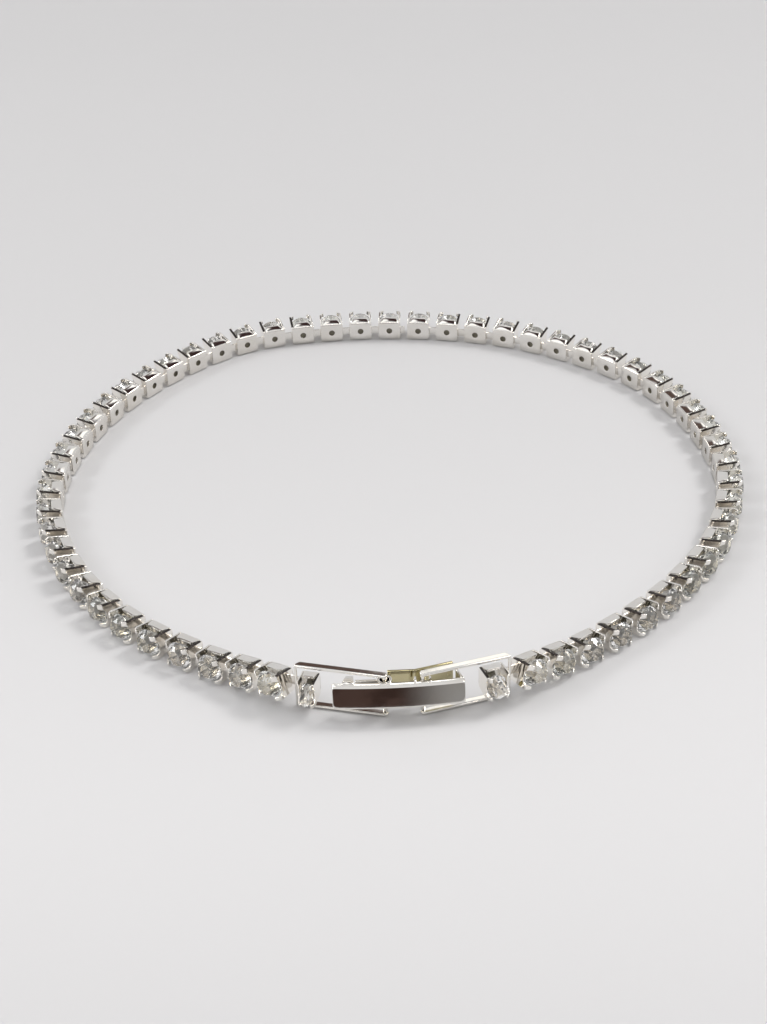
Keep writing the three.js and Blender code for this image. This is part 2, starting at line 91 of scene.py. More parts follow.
RIGHT_CUPS = [
    (9.544, -27.326, 1.886, 36.67, -8.53),
    (11.904, -25.560, 1.329, 36.32, -8.30),
    (14.323, -23.813, 1.020, 36.31, -2.95),
    (16.726, -22.016, 1.020, 38.61, 0.00),
    (19.009, -20.070, 1.020, 42.50, 0.00),
    (21.147, -17.965, 1.020, 47.21, 0.00),
    (23.081, -15.672, 1.020, 51.62, 0.00),
    (24.871, -13.264, 1.020, 56.36, 0.00),
    (26.399, -10.683, 1.020, 63.20, 0.00),
    (27.570, -7.921, 1.020, 69.42, 0.00),
    (28.507, -5.071, 1.020, 74.74, 0.00),
    (29.146, -2.140, 1.020, 81.60, 0.00),
    (29.382, 0.851, 1.020, 89.66, 0.00),
    (29.182, 3.844, 1.020, 96.62, 0.00),
    (28.691, 6.804, 1.020, 101.79, 0.00),
    (27.958, 9.713, 1.020, 106.57, 0.00),
    (26.982, 12.550, 1.020, 111.96, 0.00),
    (25.717, 15.270, 1.020, 119.14, 0.00),
    (24.068, 17.776, 1.020, 127.46, 0.00),
    (22.078, 20.021, 1.020, 134.68, 0.00),
    (19.855, 22.036, 1.020, 140.22, 0.00),
    (17.471, 23.856, 1.020, 144.88, 0.00),
    (14.951, 25.485, 1.020, 150.33, 0.00),
    (12.265, 26.821, 1.020, 156.76, 0.00),
    (9.447, 27.849, 1.020, 162.65, 0.00),
    (6.545, 28.609, 1.020, 167.79, 0.00),
    (3.588, 29.116, 1.020, 172.38, 0.00),
]

# Clasp: plan angles and places of the two frames' tips, in mm and degrees
LEFT_TIP = (-0.5801, -30.2377, 1.995, -13.816, 0.0)
RIGHT_TIP = (1.5691, -30.1783, 1.995, 16.184, 0.0)
CLASP = (-0.5801, -30.2377, 1.995, 1.584, 0.0)
LEFT_END_CUP = (-6.4211, -28.8014, 1.995, -13.816, 0.0)
RIGHT_END_CUP = (7.1056, -28.5715, 1.995, 16.184, 0.0)
LEFT_END_LENGTH = 1.35
RIGHT_END_LENGTH = 1.85
ROW_GAP = 0.3
ROWS = {
    "left": (LEFT_CUPS, LEFT_END_CUP, LEFT_END_LENGTH),
    "right": (RIGHT_CUPS, RIGHT_END_CUP, RIGHT_END_LENGTH),
}

# Brightness of the cups' satin plates as a share of their polished walls'
SATIN_SHARE = 0.88

# Shape of a cup, in mm
PLATE_CORNER = 0.16
PLATE_POINTS = 32
WALL_START = 0.4
PRONG_WIDTH = 0.36
PRONG_LENGTH = 0.62
PRONG_TIP = 0.8
PRONG_ROOT = 0.22
NOTCH_DEPTH = 0.04
NOTCH_WIDTH = 0.16
BEND_START = 0.42
BEND_MIDDLE = 0.22
BEND_IN = 0.30
BEND_BACK = 0.04
BEND_NARROWING = 0.05
BEND_POWER = 1.5
WALL_FLARE = 0.42
WALL_ROUNDING = 1.7
# Rim: a dark strip on the near end walls' top edges, painted shade for the dark reflection seen there
RIM_RISE = 0.04
RIM_DROP = 0.04
RIM_START = 1.2
RIM_PAST_NOTCH = 0.30
RIM_INSIDE = 0.04
RIM_OUTSIDE = 0.03
RIM_ROUNDING = 0.03
RIM_SLANT = 0.15
SIDE_START = 0.02
SIDE_DROP = 0.06
SIDE_INSET = 0.22
SIDE_TAPER = 0.22
SIDE_BULGE = 0.02
SIDE_THICKNESS = 0.8
SIDE_BEND_RISE = 0.02
SIDE_BEND_DEPTH = 0.07
SIDE_COLUMNS = 9
STRIP_OVERLAP = 0.08
STRIP_DEPTH = 0.2

# Shape of a stone, in mm: depths from the back plate, and radii and heights as shares
STONE_GIRDLE = 1.68
STONE_TABLE = 2.32
STONE_CULET = 0.45
GIRDLE_HALF = 0.03
TABLE_CORNER = 1.06
STAR_RADIUS = 0.83
STAR_HEIGHT = 0.50
PAVILION_RADIUS = 0.56
PAVILION_HEIGHT = 0.42
CULET_RADIUS = 0.04
STONE_RISE = 0.03
STONE_LEAN = 5.5
STONE_STEP = 0.7
END_STONE_OVERLAP = 0.05
# A dark disc behind each stone's culet, in the back plate's hole: painted shade for the dark holes and dark
# stone centres
SHADE_DISC_RADIUS = 0.36
SHADE_DISC_DEPTHS = (0.20, 0.34)

# Sizes of the clasp that the frame fixes, in mm
FRAME_HEIGHT = 3.95
FRAME_LENGTH = 7.05
RAIL_THICKNESS = 0.25
RAIL_INSET = 0.2
RAIL_OUTER = 0.8
RAIL_NOSE = 0.16
RAIL_NOSE_SLANT = 0.2
RAIL_ROOT = 0.3
RAIL_ROOT_SLANT = 0.35
RAIL_ROUNDING = 0.11
STRAP_THICKNESS = 0.2
STRAP_INNER = 0.6
STRAP_INSET = 0.06
STRAP_ROUNDING = 0.05
PIN_SETBACK = 0.25
PIN_DEPTH = 0.4
PIN_RADIUS = 0.18
PIN_INSET = 0.02
PIN_ROUNDING = 0.03
LEFT_FRAME_ANGLE = 15.4
RIGHT_FRAME_ANGLE = 14.6
TIP_GAP = 2.15
LEVER_HEIGHT = 1.9
LEVER_LEFT = -4.3
LEVER_RIGHT = 5.65
LEVER_FACE = 1.25
LEVER_BOW = 0.25
LEVER_LEAF = 1.0
LEVER_RISE = 0.4
LEVER_CORNER = 0.2
LEVER_EDGE = (0.22, 0.30, 0.16)
LEVER_THICKNESS = 0.26
LEVER_TILT = 25.0
LEVER_COLUMNS = 44
LEVER_OVERLAP = 0.1
LEVER_FOOT = 0.9
KNUCKLE_CLEARANCE = 0.2
KNUCKLE_WALL = 0.18
KNUCKLE_ROUNDING = 0.03
HOOK_LEG = (0.46, 0.66)
LEAF_GAP = 0.09
LEAF_LENGTH = 1.72
LEAF_HALF = 0.11
LEAF_ROUNDING = 0.05
NOSE_PLACE = 0.93
NOSE_LENGTH = 0.72
NOSE_SLANT = (-0.3, 0.1)
NOSE_DEPTH = 1.15
NOSE_ROUNDING = 0.1
TAB_ROOT = (0.30, 0.04)
TAB_END = (0.45, 0.65)
TAB_DEPTH = 1.2
TAB_ROUNDING = 0.06
CATCH_INSET = 0.56
CATCH_THICKNESS = 0.22
CATCH_HALF = 0.95
CATCH_LENGTH = 3.0
CATCH_RISE = 0.45
CATCH_OVERHANG = 0.1
CATCH_ROUNDING = 0.05
STEM_HALF = 0.15
STEM_INSET = 0.05
STEM_OVERLAP = 0.11
STEM_ROUNDING = 0.04

# The table: half its width and the near and far ends of its painted light in metres, then the painted light
# from near to far as (share of the way, share of the table's colour): brighter near the bracelet, darker
# far off
TABLE_HALF = 6.0
TABLE_NEAR = -0.07
TABLE_FAR = 0.15
TABLE_PAINTED_LIGHT = ((0.0, 1.0), (0.13, 1.20), (0.30, 1.06), (0.50, 1.0), (0.80, 0.94), (0.99, 0.90))

# Metal: scale of its clouding, its darker tint as shares, its finest and coarsest roughness as shares
# and the depth of its grain in metres
METAL_CLOUDS = 420.0
METAL_TINT = (0.95, 0.94, 0.92)
ROUGHNESS_SHARES = (0.6, 1.5)
GRAIN_DEPTH = 0.00002

# Glass: how clear it is, its index of refraction, scale of its tint and the tint as shares
GLASS_CLARITY = 0.97
GLASS_INDEX = 1.52
GLASS_CLOUDS = 160.0
GLASS_TINT = (0.975, 0.985, 0.955)

# Lights as (name, place and size in metres, power in watts, colour)
LIGHTS = (
    ("key_light", (1.05, 0.50, 1.35), 0.50, 16.7, (1.0, 0.985, 0.975)),
    ("second_light", (-0.95, 0.10, 0.80), 0.30, 3.4, (0.98, 0.985, 1.0)),
)

# Room: its light's strength and the colours of its parts
ROOM_STRENGTH = 0.565
HORIZON = (0.55, 0.53, 0.52)
UPPER_ROOM = (1.15, 1.15, 1.17)
NEAR_ROOM = (1.45, 1.44, 1.46)
CEILING = (1.35, 1.35, 1.37)
DARK_BROWN = (0.072, 0.043, 0.036)
LIGHT_BROWN = (0.120, 0.074, 0.063)
LOW_GREY = (0.50, 0.49, 0.485)
BLOTCH_STRETCH = (16.0, 16.0, 3.0)

# Small bright patches of the room as directions, their colour and the reach of their outer and inner edge
SKY_SPOTS = ((-0.55, 0.35, 0.76), (0.25, 0.62, 0.74), (-0.25, -0.45, 0.86), (0.60, -0.50, 0.62),
             (-0.80, -0.10, 0.59), (0.75, 0.35, 0.56), (0.02, 0.10, 0.99), (-0.45, 0.75, 0.48),
             (0.45, -0.15, 0.88), (-0.60, -0.60, 0.53), (0.90, -0.10, 0.42))
SPOT_COLOUR = (11.0, 10.8, 10.5)
SPOT_REACH = (0.11, 0.07)

# Dark and bright cards beyond the bracelet that its metal mirrors, each as (where it starts, is full,
# starts to end and ends across the room, the same by height, colour)
CARDS = (
    ((-0.30, -0.12, -0.010, 0.012), (0.56, 0.60, 0.68, 0.72), (0.17, 0.115, 0.10)),
    ((0.005, 0.030, 0.09, 0.12), (0.56, 0.60, 0.645, 0.66), (2.3, 2.26, 2.2)),
    ((-0.030, -0.015, 0.16, 0.22), (0.66, 0.675, 0.80, 0.84), (0.075, 0.045, 0.045)),
    ((-0.30, -0.20, -0.030, -0.015), (0.73, 0.745, 0.80, 0.84), (2.2, 2.2, 2.2)),
)

# Camera: lens and sensor in mm, pitch and roll in degrees, place in metres
CAMERA_LENS = 60.29
CAMERA_SENSOR = 36.0
CAMERA_PITCH = 33.75
CAMERA_ROLL = -1.8
CAMERA_PLACE = (-0.000600, -0.129987, 0.084815)


def place_matrix(place):
    """The transform of a piece whose own axes are along +X, outward -Y and up +Z, in mm."""
    x, y, z, heading, slope = place
    h = heading * DEGREE
    s = slope * DEGREE
    along = Vector((math.cos(s) * math.cos(h), math.cos(s) * math.sin(h), math.sin(s)))
    back = Vector((-math.sin(h), math.cos(h), 0.0))
    top = along.cross(back)
    m = Matrix((along, back, top)).transposed().to_4x4()
    m.translation = Vector((x, y, z))
    return m


# Mesh helpers: a piece is a bmesh in mm, and many pieces are joined into one object
def box_outline(low, high, inner, outer):
    """The four corners of a box from low to high along the chain and from inner to outer across it."""
    return [(low, inner), (high, inner), (high, outer), (low, outer)]


def prism(outline, low, high, axis="Z"):
    """A closed prism over an outline. Axis Z: outline is (along, outward). Axis Y: outline is (along, up)
    and low to high run outward. Axis X: outline is (outward, up) and low to high run along."""
    bm = bmesh.new()
    spots = {
        "Z": lambda p, h: (p[0], -p[1], h),
        "Y": lambda p, h: (p[0], -h, p[1]),
        "X": lambda p, h: (h, -p[0], p[1]),
    }[axis]
    lower = [bm.verts.new(spots(p, low)) for p in outline]
    upper = [bm.verts.new(spots(p, high)) for p in outline]
    bm.faces.new(lower)
    bm.faces.new(list(reversed(upper)))
    count = len(outline)
    for i in range(count):
        j = (i + 1) % count
        bm.faces.new((lower[j], lower[i], upper[i], upper[j]))
    bmesh.ops.recalc_face_normals(bm, faces=bm.faces[:])
    return bm


def ring_plate(outline, hole, low, high):
    """A plate in the (along, up) plane with one round hole. Outline and hole have as many points."""
    bm = bmesh.new()
    loops = []
    for depth in (low, high):
        outer = [bm.verts.new((p[0], -depth, p[1])) for p in outline]
        inner = [bm.verts.new((p[0], -depth, p[1])) for p in hole]
        loops.append((outer, inner))
    count = len(outline)
    for i in range(count):
        j = (i + 1) % count
        (o0, i0), (o1, i1) = loops
        bm.faces.new((o0[i], o0[j], i0[j], i0[i]))
        bm.faces.new((o1[j], o1[i], i1[i], i1[j]))
        bm.faces.new((o0[j], o0[i], o1[i], o1[j]))
        bm.faces.new((i0[i], i0[j], i1[j], i1[i]))
    bmesh.ops.recalc_face_normals(bm, faces=bm.faces[:])
    return bm


def bent_sheet(rows, thickness):
    """A closed thin sheet from rows of points, given a thickness down from its outer face."""
    bm = bmesh.new()
    down = Vector((0, 0, thickness))
    outer = [[bm.verts.new(p) for p in row] for row in rows]
    inner = [[bm.verts.new(Vector(p) - down) for p in row] for row in rows]
    last_row, last = len(rows) - 1, len(rows[0]) - 1
    for i in range(last_row):
        for j in range(last):
            bm.faces.new((outer[i][j], outer[i][j + 1], outer[i + 1][j + 1], outer[i + 1][j]))
            bm.faces.new((inner[i][j + 1], inner[i][j], inner[i + 1][j], inner[i + 1][j + 1]))
    rim = [(i, 0) for i in range(last_row)] + [(last_row, j) for j in range(last)]
    rim += [(i, last) for i in range(last_row, 0, -1)] + [(0, j) for j in range(last, 0, -1)]
    for (a, b), (c, d) in zip(rim, rim[1:] + rim[:1]):
        bm.faces.new((outer[a][b], outer[c][d], inner[c][d], inner[a][b]))
    bmesh.ops.recalc_face_normals(bm, faces=bm.faces[:])
    return bm


def round_edges(bm, width, segments=2, angle=30.0):
    """Rounds every edge that is sharper than the angle."""
    edges = [e for e in bm.edges if e.is_manifold and e.calc_face_angle(0.0) > angle * DEGREE]
    bmesh.ops.bevel(bm, geom=edges, offset=width, segments=segments, profile=0.5,
                    affect="EDGES", clamp_overlap=True)
    return bm


def take(bm):
    """The bmesh as arrays: vertices and faces. The bmesh is freed."""
    bm.verts.ensure_lookup_table()
    bm.verts.index_update()
    verts = np.array([v.co[:] for v in bm.verts])
    faces = [[v.index for v in f.verts] for f in bm.faces]
    bm.free()
    return verts, faces


def join(parts):
    """Several (vertices, faces) as one."""
    verts = []
    faces = []
    start = 0
    for part_verts, part_faces in parts:
        verts.append(part_verts)
        faces.extend([[i + start for i in f] for f in part_faces])
        start += len(part_verts)
    return np.concatenate(verts), faces


def moved(part, matrix):
    """The part put in place by a matrix."""
    verts, faces = part
    m = np.array(matrix)
    return verts @ m[:3, :3].T + m[:3, 3], faces


def stretched(part, share):
    """The part made longer or shorter along the chain."""
    verts, faces = part
    return verts * np.array((share, 1.0, 1.0)), faces


def to_object(name, part, material, smooth_angle, body, nodes=()):
    """One object from mm arrays, riding on a body of the frame."""
    verts, faces = part
    mesh = bpy.data.meshes.new(name)
    mesh.from_pydata((verts * MM).tolist(), [], faces)
    mesh.validate()
    if smooth_angle > 0:
        mesh.shade_smooth()
        mesh.set_sharp_from_angle(angle=smooth_angle * DEGREE)
    mesh.materials.append(material)
    obj = bpy.data.objects.new(name, mesh)
    bpy.context.scene.collection.objects.link(obj)
    if smooth_angle > 0:
        even = obj.modifiers.new("even_shading", "WEIGHTED_NORMAL")
        even.keep_sharp = True
    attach(obj, body)
    if nodes:
        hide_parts(*nodes)
    return obj


# Materials
def new_material(name):
    mat = bpy.data.materials.new(name)
    mat.use_nodes = True
    nodes = mat.node_tree.nodes
    return mat, nodes, mat.node_tree.links, nodes["Principled BSDF"]


def plated_silver(name, colour, roughness, grain, bump):
    """Plated metal: a warm silver with faint clouding, polish grain and tiny unevenness."""
    mat, nodes, links, shader = new_material(name)
    shader.inputs["Metallic"].default_value = 1.0
    spot = nodes.new("ShaderNodeTexCoord")
    cloud = nodes.new("ShaderNodeTexNoise")
    cloud.inputs["Scale"].default_value = METAL_CLOUDS
    cloud.inputs["Detail"].default_value = 3.0
    links.new(spot.outputs["Object"], cloud.inputs["Vector"])
    tint = nodes.new("ShaderNodeValToRGB")
    tint.color_ramp.elements[0].position = 0.35
    tint.color_ramp.elements[0].color = (*[c * share for c, share in zip(colour, METAL_TINT)], 1)
    tint.color_ramp.elements[1].position = 0.62
    tint.color_ramp.elements[1].color = (*colour, 1)
    links.new(cloud.outputs["Fac"], tint.inputs["Fac"])
    links.new(tint.outputs["Color"], shader.inputs["Base Color"])
    fine = nodes.new("ShaderNodeTexNoise")
    fine.inputs["Scale"].default_value = grain
    fine.inputs["Detail"].default_value = 4.0
    links.new(spot.outputs["Object"], fine.inputs["Vector"])
    rough = nodes.new("ShaderNodeMapRange")
    rough.inputs["To Min"].default_value = roughness * ROUGHNESS_SHARES[0]
    rough.inputs["To Max"].default_value = roughness * ROUGHNESS_SHARES[1]
    links.new(fine.outputs["Fac"], rough.inputs["Value"])
    links.new(rough.outputs["Result"], shader.inputs["Roughness"])
    dent = nodes.new("ShaderNodeBump")
    dent.inputs["Strength"].default_value = bump
    dent.inputs["Distance"].default_value = GRAIN_DEPTH
    links.new(fine.outputs["Fac"], dent.inputs["Height"])
    links.new(dent.outputs["Normal"], shader.inputs["Normal"])
    return mat


def cut_glass(name, colour):
    """Clear cut glass with a faint change of tint from stone to stone."""
    mat, nodes, links, shader = new_material(name)
    shader.inputs["Transmission Weight"].default_value = GLASS_CLARITY
    shader.inputs["IOR"].default_value = GLASS_INDEX
    shader.inputs["Roughness"].default_value = 0.0
    spot = nodes.new("ShaderNodeTexCoord")
    cloud = nodes.new("ShaderNodeTexNoise")
    cloud.inputs["Scale"].default_value = GLASS_CLOUDS
    cloud.inputs["Detail"].default_value = 0.0
    links.new(spot.outputs["Object"], cloud.inputs["Vector"])
    tint = nodes.new("ShaderNodeValToRGB")
    stops = tint.color_ramp.elements
    stops[0].position = 0.38
    stops[0].color = (*[c * share for c, share in zip(colour, GLASS_TINT)], 1)
    stops[1].position = 0.60
    stops[1].color = (*colour, 1)
    links.new(cloud.outputs["Fac"], tint.inputs["Fac"])
    links.new(tint.outputs["Color"], shader.inputs["Base Color"])
    return mat


# User settings
class BraceletSizes(bpy.types.PropertyGroup):
    """Sizes that can change the look of the cups and stones"""
    cup_length: bpy.props.FloatProperty(
        name="Cup length", description="Length of one cup along the chain",
        default=0.00227, unit="LENGTH", precision=5)
    cup_height: bpy.props.FloatProperty(
        name="Cup height", description="Height of one cup across the chain",
        default=0.00187, unit="LENGTH", precision=5)
    cup_depth: bpy.props.FloatProperty(
        name="Cup depth", description="From the back plate to the prong tips",
        default=0.0022, unit="LENGTH", precision=5)
    sheet: bpy.props.FloatProperty(
        name="Sheet thickness", description="Thickness of the cup's metal",
        default=0.00016, unit="LENGTH", precision=5)
    hole: bpy.props.FloatProperty(
        name="Hole", description="Diameter of the hole in the back plate",
        default=0.00058, unit="LENGTH", precision=5)
    side_wall: bpy.props.FloatProperty(
        name="Side wall depth", description="Depth of the two low side walls",
        default=0.0009, unit="LENGTH", precision=5)
    stone_width: bpy.props.FloatProperty(
        name="Stone width", description="Diameter of a stone at its girdle",
        default=0.00218, unit="LENGTH", precision=5)
    table_share: bpy.props.FloatProperty(
        name="Table share", description="Table width as a share of the stone's",
        default=0.58, min=0.3, max=0.8, subtype="FACTOR")
    strip_height: bpy.props.FloatProperty(
        name="Strip height", description="Height of the joining strips",
        default=0.0008, unit="LENGTH", precision=5)
    strip_thickness: bpy.props.FloatProperty(
        name="Strip thickness", description="Thickness of the joining strips",
        default=0.00015, unit="LENGTH", precision=5)
    edge: bpy.props.FloatProperty(
        name="Edge rounding", description="Rounding of the metal's edges",
        default=0.000035, unit="LENGTH", precision=6)


class BraceletColours(bpy.types.PropertyGroup):
    """Colours of the metals, the stones and the table."""
    cups: bpy.props.FloatVectorProperty(
        name="Cups", description="Colour of the plated cups", subtype="COLOR",
        default=(0.93, 0.905, 0.865), min=0, max=1)
    clasp: bpy.props.FloatVectorProperty(
        name="Clasp", description="Colour of the polished clasp", subtype="COLOR",
        default=(0.86, 0.84, 0.80), min=0, max=1)
    stones: bpy.props.FloatVectorProperty(
        name="Stones", description="Colour of the glass stones", subtype="COLOR",
        default=(0.998, 0.992, 0.972), min=0, max=1)
    # Painted shade: dark colour of the strips on the near end walls' rims, standing in for their dark
    # reflection
    rims: bpy.props.FloatVectorProperty(
        name="Rims", description="Colour of the cups' worn rims", subtype="COLOR",
        default=(0.055, 0.046, 0.042), min=0, max=1)
    # Painted shade: colour of the dark discs behind the stones
    shade_disc: bpy.props.FloatVectorProperty(
        name="Foil", description="Colour of the foil behind the stones", subtype="COLOR",
        default=(0.16, 0.15, 0.12), min=0, max=1)
    # Gold tone of the catch plate, darkened further as painted shade for its place behind the lever
    catch: bpy.props.FloatVectorProperty(
        name="Catch", description="Colour of the catch plate", subtype="COLOR",
        default=(0.56, 0.51, 0.32), min=0, max=1)
    table: bpy.props.FloatVectorProperty(
        name="Table", description="Colour of the table top", subtype="COLOR",
        default=(0.441, 0.438, 0.441), min=0, max=1)


def in_mm(group):
    """The settings of a group with their lengths in mm."""
    values = {}
    for name, setting in group.bl_rna.properties.items():
        if setting.type == "FLOAT":
            scale = MM if setting.unit == "LENGTH" else 1.0
            values[name] = round(getattr(group, name) / scale, 5)
    return SimpleNamespace(**values)


# Unit pieces in mm
def circle_points(radius, count, turn=0.0):
    """Points of a circle, the first one at the given turn in radians."""
    return [(radius * math.cos(turn + i * 2 * math.pi / count),
             radius * math.sin(turn + i * 2 * math.pi / count)) for i in range(count)]


def square_points(half_along, half_up, corner, count):
    """Points of a rounded rectangle, at the same angles as a circle's points."""
    points = []
    for x, y in circle_points(1.0, count, math.pi / count):
        scale = 1.0 / max(abs(x) / half_along, abs(y) / half_up)
        px, py = x * scale, y * scale
        cx, cy = half_along - corner, half_up - corner
        if abs(px) > cx and abs(py) > cy:
            dx, dy = abs(px) - cx, abs(py) - cy
            reach = math.hypot(dx, dy)
            px = math.copysign(cx + dx * corner / reach, px)
            py = math.copysign(cy + dy * corner / reach, py)
        points.append((px, py))
    return points


def cup_plate(s):
    """The cup's back plate with its hole."""
    plate = ring_plate(square_points(s.cup_length / 2, s.cup_height / 2, PLATE_CORNER, PLATE_POINTS),
                       circle_points(s.hole / 2, PLATE_POINTS, math.pi / PLATE_POINTS), 0.0, s.sheet)
    return take(round_edges(plate, s.edge))


def flare(spots, s):
    """Raises the upper half of a wall towards its outer end, where the real cups are wider."""
    for v in spots:
        if v.co.z > 0:
            v.co.z *= 1.0 + WALL_FLARE * max(0.0, -v.co.y) / s.cup_depth


def end_wall(s, side):
    """One end wall with its two prongs, bent in over the stone."""
    end = s.cup_length / 2
    top = s.cup_height / 2
    start = s.sheet * WALL_START
    notch = s.cup_depth - PRONG_LENGTH
    root = top - PRONG_WIDTH
    upper = [(notch, 0.0), (notch + NOTCH_DEPTH, root - NOTCH_WIDTH), (notch + PRONG_ROOT, root),
             (s.cup_depth, top - PRONG_WIDTH * PRONG_TIP), (s.cup_depth, top), (start, top)]
    lower = [(depth, -height) for depth, height in reversed(upper[1:])]
    low, high = sorted((side * (end - s.sheet), side * end))
    bm = prism(lower + upper, low, high, "X")
    for before_tip in (BEND_START, BEND_MIDDLE):
        bmesh.ops.bisect_plane(bm, geom=bm.verts[:] + bm.edges[:] + bm.faces[:],
                               plane_co=(0, -(s.cup_depth - before_tip), 0), plane_no=(0, 1, 0))
    round_edges(bm, s.edge * WALL_ROUNDING, 3)
    for v in bm.verts:
        past = -v.co.y - (s.cup_depth - BEND_START)
        if past > 0:
            lean = (past / BEND_START) ** BEND_POWER
            v.co.x -= side * BEND_IN * lean
            v.co.y += BEND_BACK * lean
            v.co.z *= 1.0 - BEND_NARROWING * lean
    flare(bm.verts, s)
    return take(bm)


def shaded_end_rim(s, side):
    """The upper rim of one end wall: a strip of painted shade for the dark reflection along its top edge.
    """
    end = s.cup_length / 2
    top = s.cup_height / 2
    start = s.sheet * RIM_START
    stop = s.cup_depth - PRONG_LENGTH + RIM_PAST_NOTCH
    bar = [(start, top - RIM_DROP), (stop, top - RIM_DROP), (stop, top + RIM_RISE), (start, top + RIM_RISE)]
    low, high = sorted((side * (end - s.sheet - RIM_INSIDE), side * (end + RIM_OUTSIDE)))
    rim = round_edges(prism(bar, low, high, "X"), RIM_ROUNDING, 3)
    flare(rim.verts, s)
    return take(rim)


def side_wall(s, level, rise):
    """One low side wall, bent up from the back plate and narrower towards its free edge."""
    top = s.cup_height / 2
    widest = s.cup_length / 2 - SIDE_INSET
    across = np.linspace(-1, 1, SIDE_COLUMNS)
    rows = []
    for turn in range(0, 91, 15):
        depth = SIDE_START + SIDE_BEND_DEPTH * (1 - math.cos(turn * DEGREE))
        height = top - SIDE_DROP + (rise + SIDE_DROP) * math.sin(turn * DEGREE)
        rows.append([(widest * u, -depth, level * height) for u in across])
    for depth in np.linspace(SIDE_START + SIDE_BEND_DEPTH, s.side_wall, 5)[1:]:
        share = (depth - SIDE_BEND_DEPTH) / (s.side_wall - SIDE_BEND_DEPTH)
        half = widest - SIDE_TAPER * share ** 1.5
        bulge = SIDE_BULGE * math.sin(math.pi * share)
        rows.append([(half * u, -depth, level * (top + rise + bulge * (1 - u * u))) for u in across])
    sheet = bent_sheet(rows, level * s.sheet * SIDE_THICKNESS)
    wall = round_edges(sheet, s.edge * SIDE_THICKNESS, 2, 50.0)
    flare(wall.verts, s)
    return take(wall)


def cup_walls(s):
    """The cup's two end walls with their prongs and its two low side walls."""
    ends = [end_wall(s, side) for side in (-1, 1)]
    return join([*ends, side_wall(s, -1, 0.0), side_wall(s, 1, SIDE_BEND_RISE)])


def unit_stone(s):
    """One round cut stone with table, star, bezel and girdle facets above, main and lower facets below."""
    r = s.stone_width / 2
    crown = STONE_TABLE - STONE_GIRDLE
    rings = [
        (r * s.table_share * TABLE_CORNER, STONE_TABLE, 8, 0.0),
        (r * STAR_RADIUS, STONE_GIRDLE + crown * STAR_HEIGHT, 8, math.pi / 8),
        (r, STONE_GIRDLE + GIRDLE_HALF, 16, 0.0),
        (r, STONE_GIRDLE - GIRDLE_HALF, 16, 0.0),
        (r * PAVILION_RADIUS, STONE_CULET + (STONE_GIRDLE - STONE_CULET) * PAVILION_HEIGHT, 8, 0.0),
        (r * CULET_RADIUS, STONE_CULET, 8, 0.0),
    ]
    bm = bmesh.new()
    for radius, depth, count, turn in rings:
        for x, z in circle_points(radius, count, turn):
            bm.verts.new((x, -depth, z))
    hull = bmesh.ops.convex_hull(bm, input=bm.verts[:])
    loose = [v for v in hull["geom_interior"] if isinstance(v, bmesh.types.BMVert)]
    if loose:
        bmesh.ops.delete(bm, geom=loose, context="VERTS")
    bmesh.ops.recalc_face_normals(bm, faces=bm.faces[:])
    return take(bm)


def strip_between(s, first, first_along, second, second_along):
    """A flat strip from one cup to the next, given by both places and where it starts and stops."""
    outward = STRIP_DEPTH + s.strip_thickness / 2
    start = place_matrix(first) @ Vector((first_along, -outward, 0))
    stop = place_matrix(second) @ Vector((second_along, -outward, 0))
    way = stop - start
    heading = math.atan2(way.y, way.x) / DEGREE
    slope = math.asin(way.z / way.length) / DEGREE
    half = s.strip_thickness / 2
    bm = prism([(0, -half), (way.length, -half), (way.length, half), (0, half)],
               -s.strip_height / 2, s.strip_height / 2)
    part = take(round_edges(bm, s.edge))
    return moved(part, place_matrix((start.x, start.y, start.z, heading, slope)))


def lever_face(along):
    """How far out the lever's bowed face is at a place along it."""
    middle = (LEVER_LEFT + LEVER_RIGHT) / 2
    share = (along - middle) / ((LEVER_RIGHT - LEVER_LEFT) / 2)
    return LEVER_FACE - LEVER_BOW * share * share


# Operators
class BraceletOperator:
    bl_options = {"REGISTER", "UNDO"}

    def settings(self, context):
        """The sizes in mm and the colours."""
        return in_mm(context.scene.bracelet_sizes), context.scene.bracelet_colours


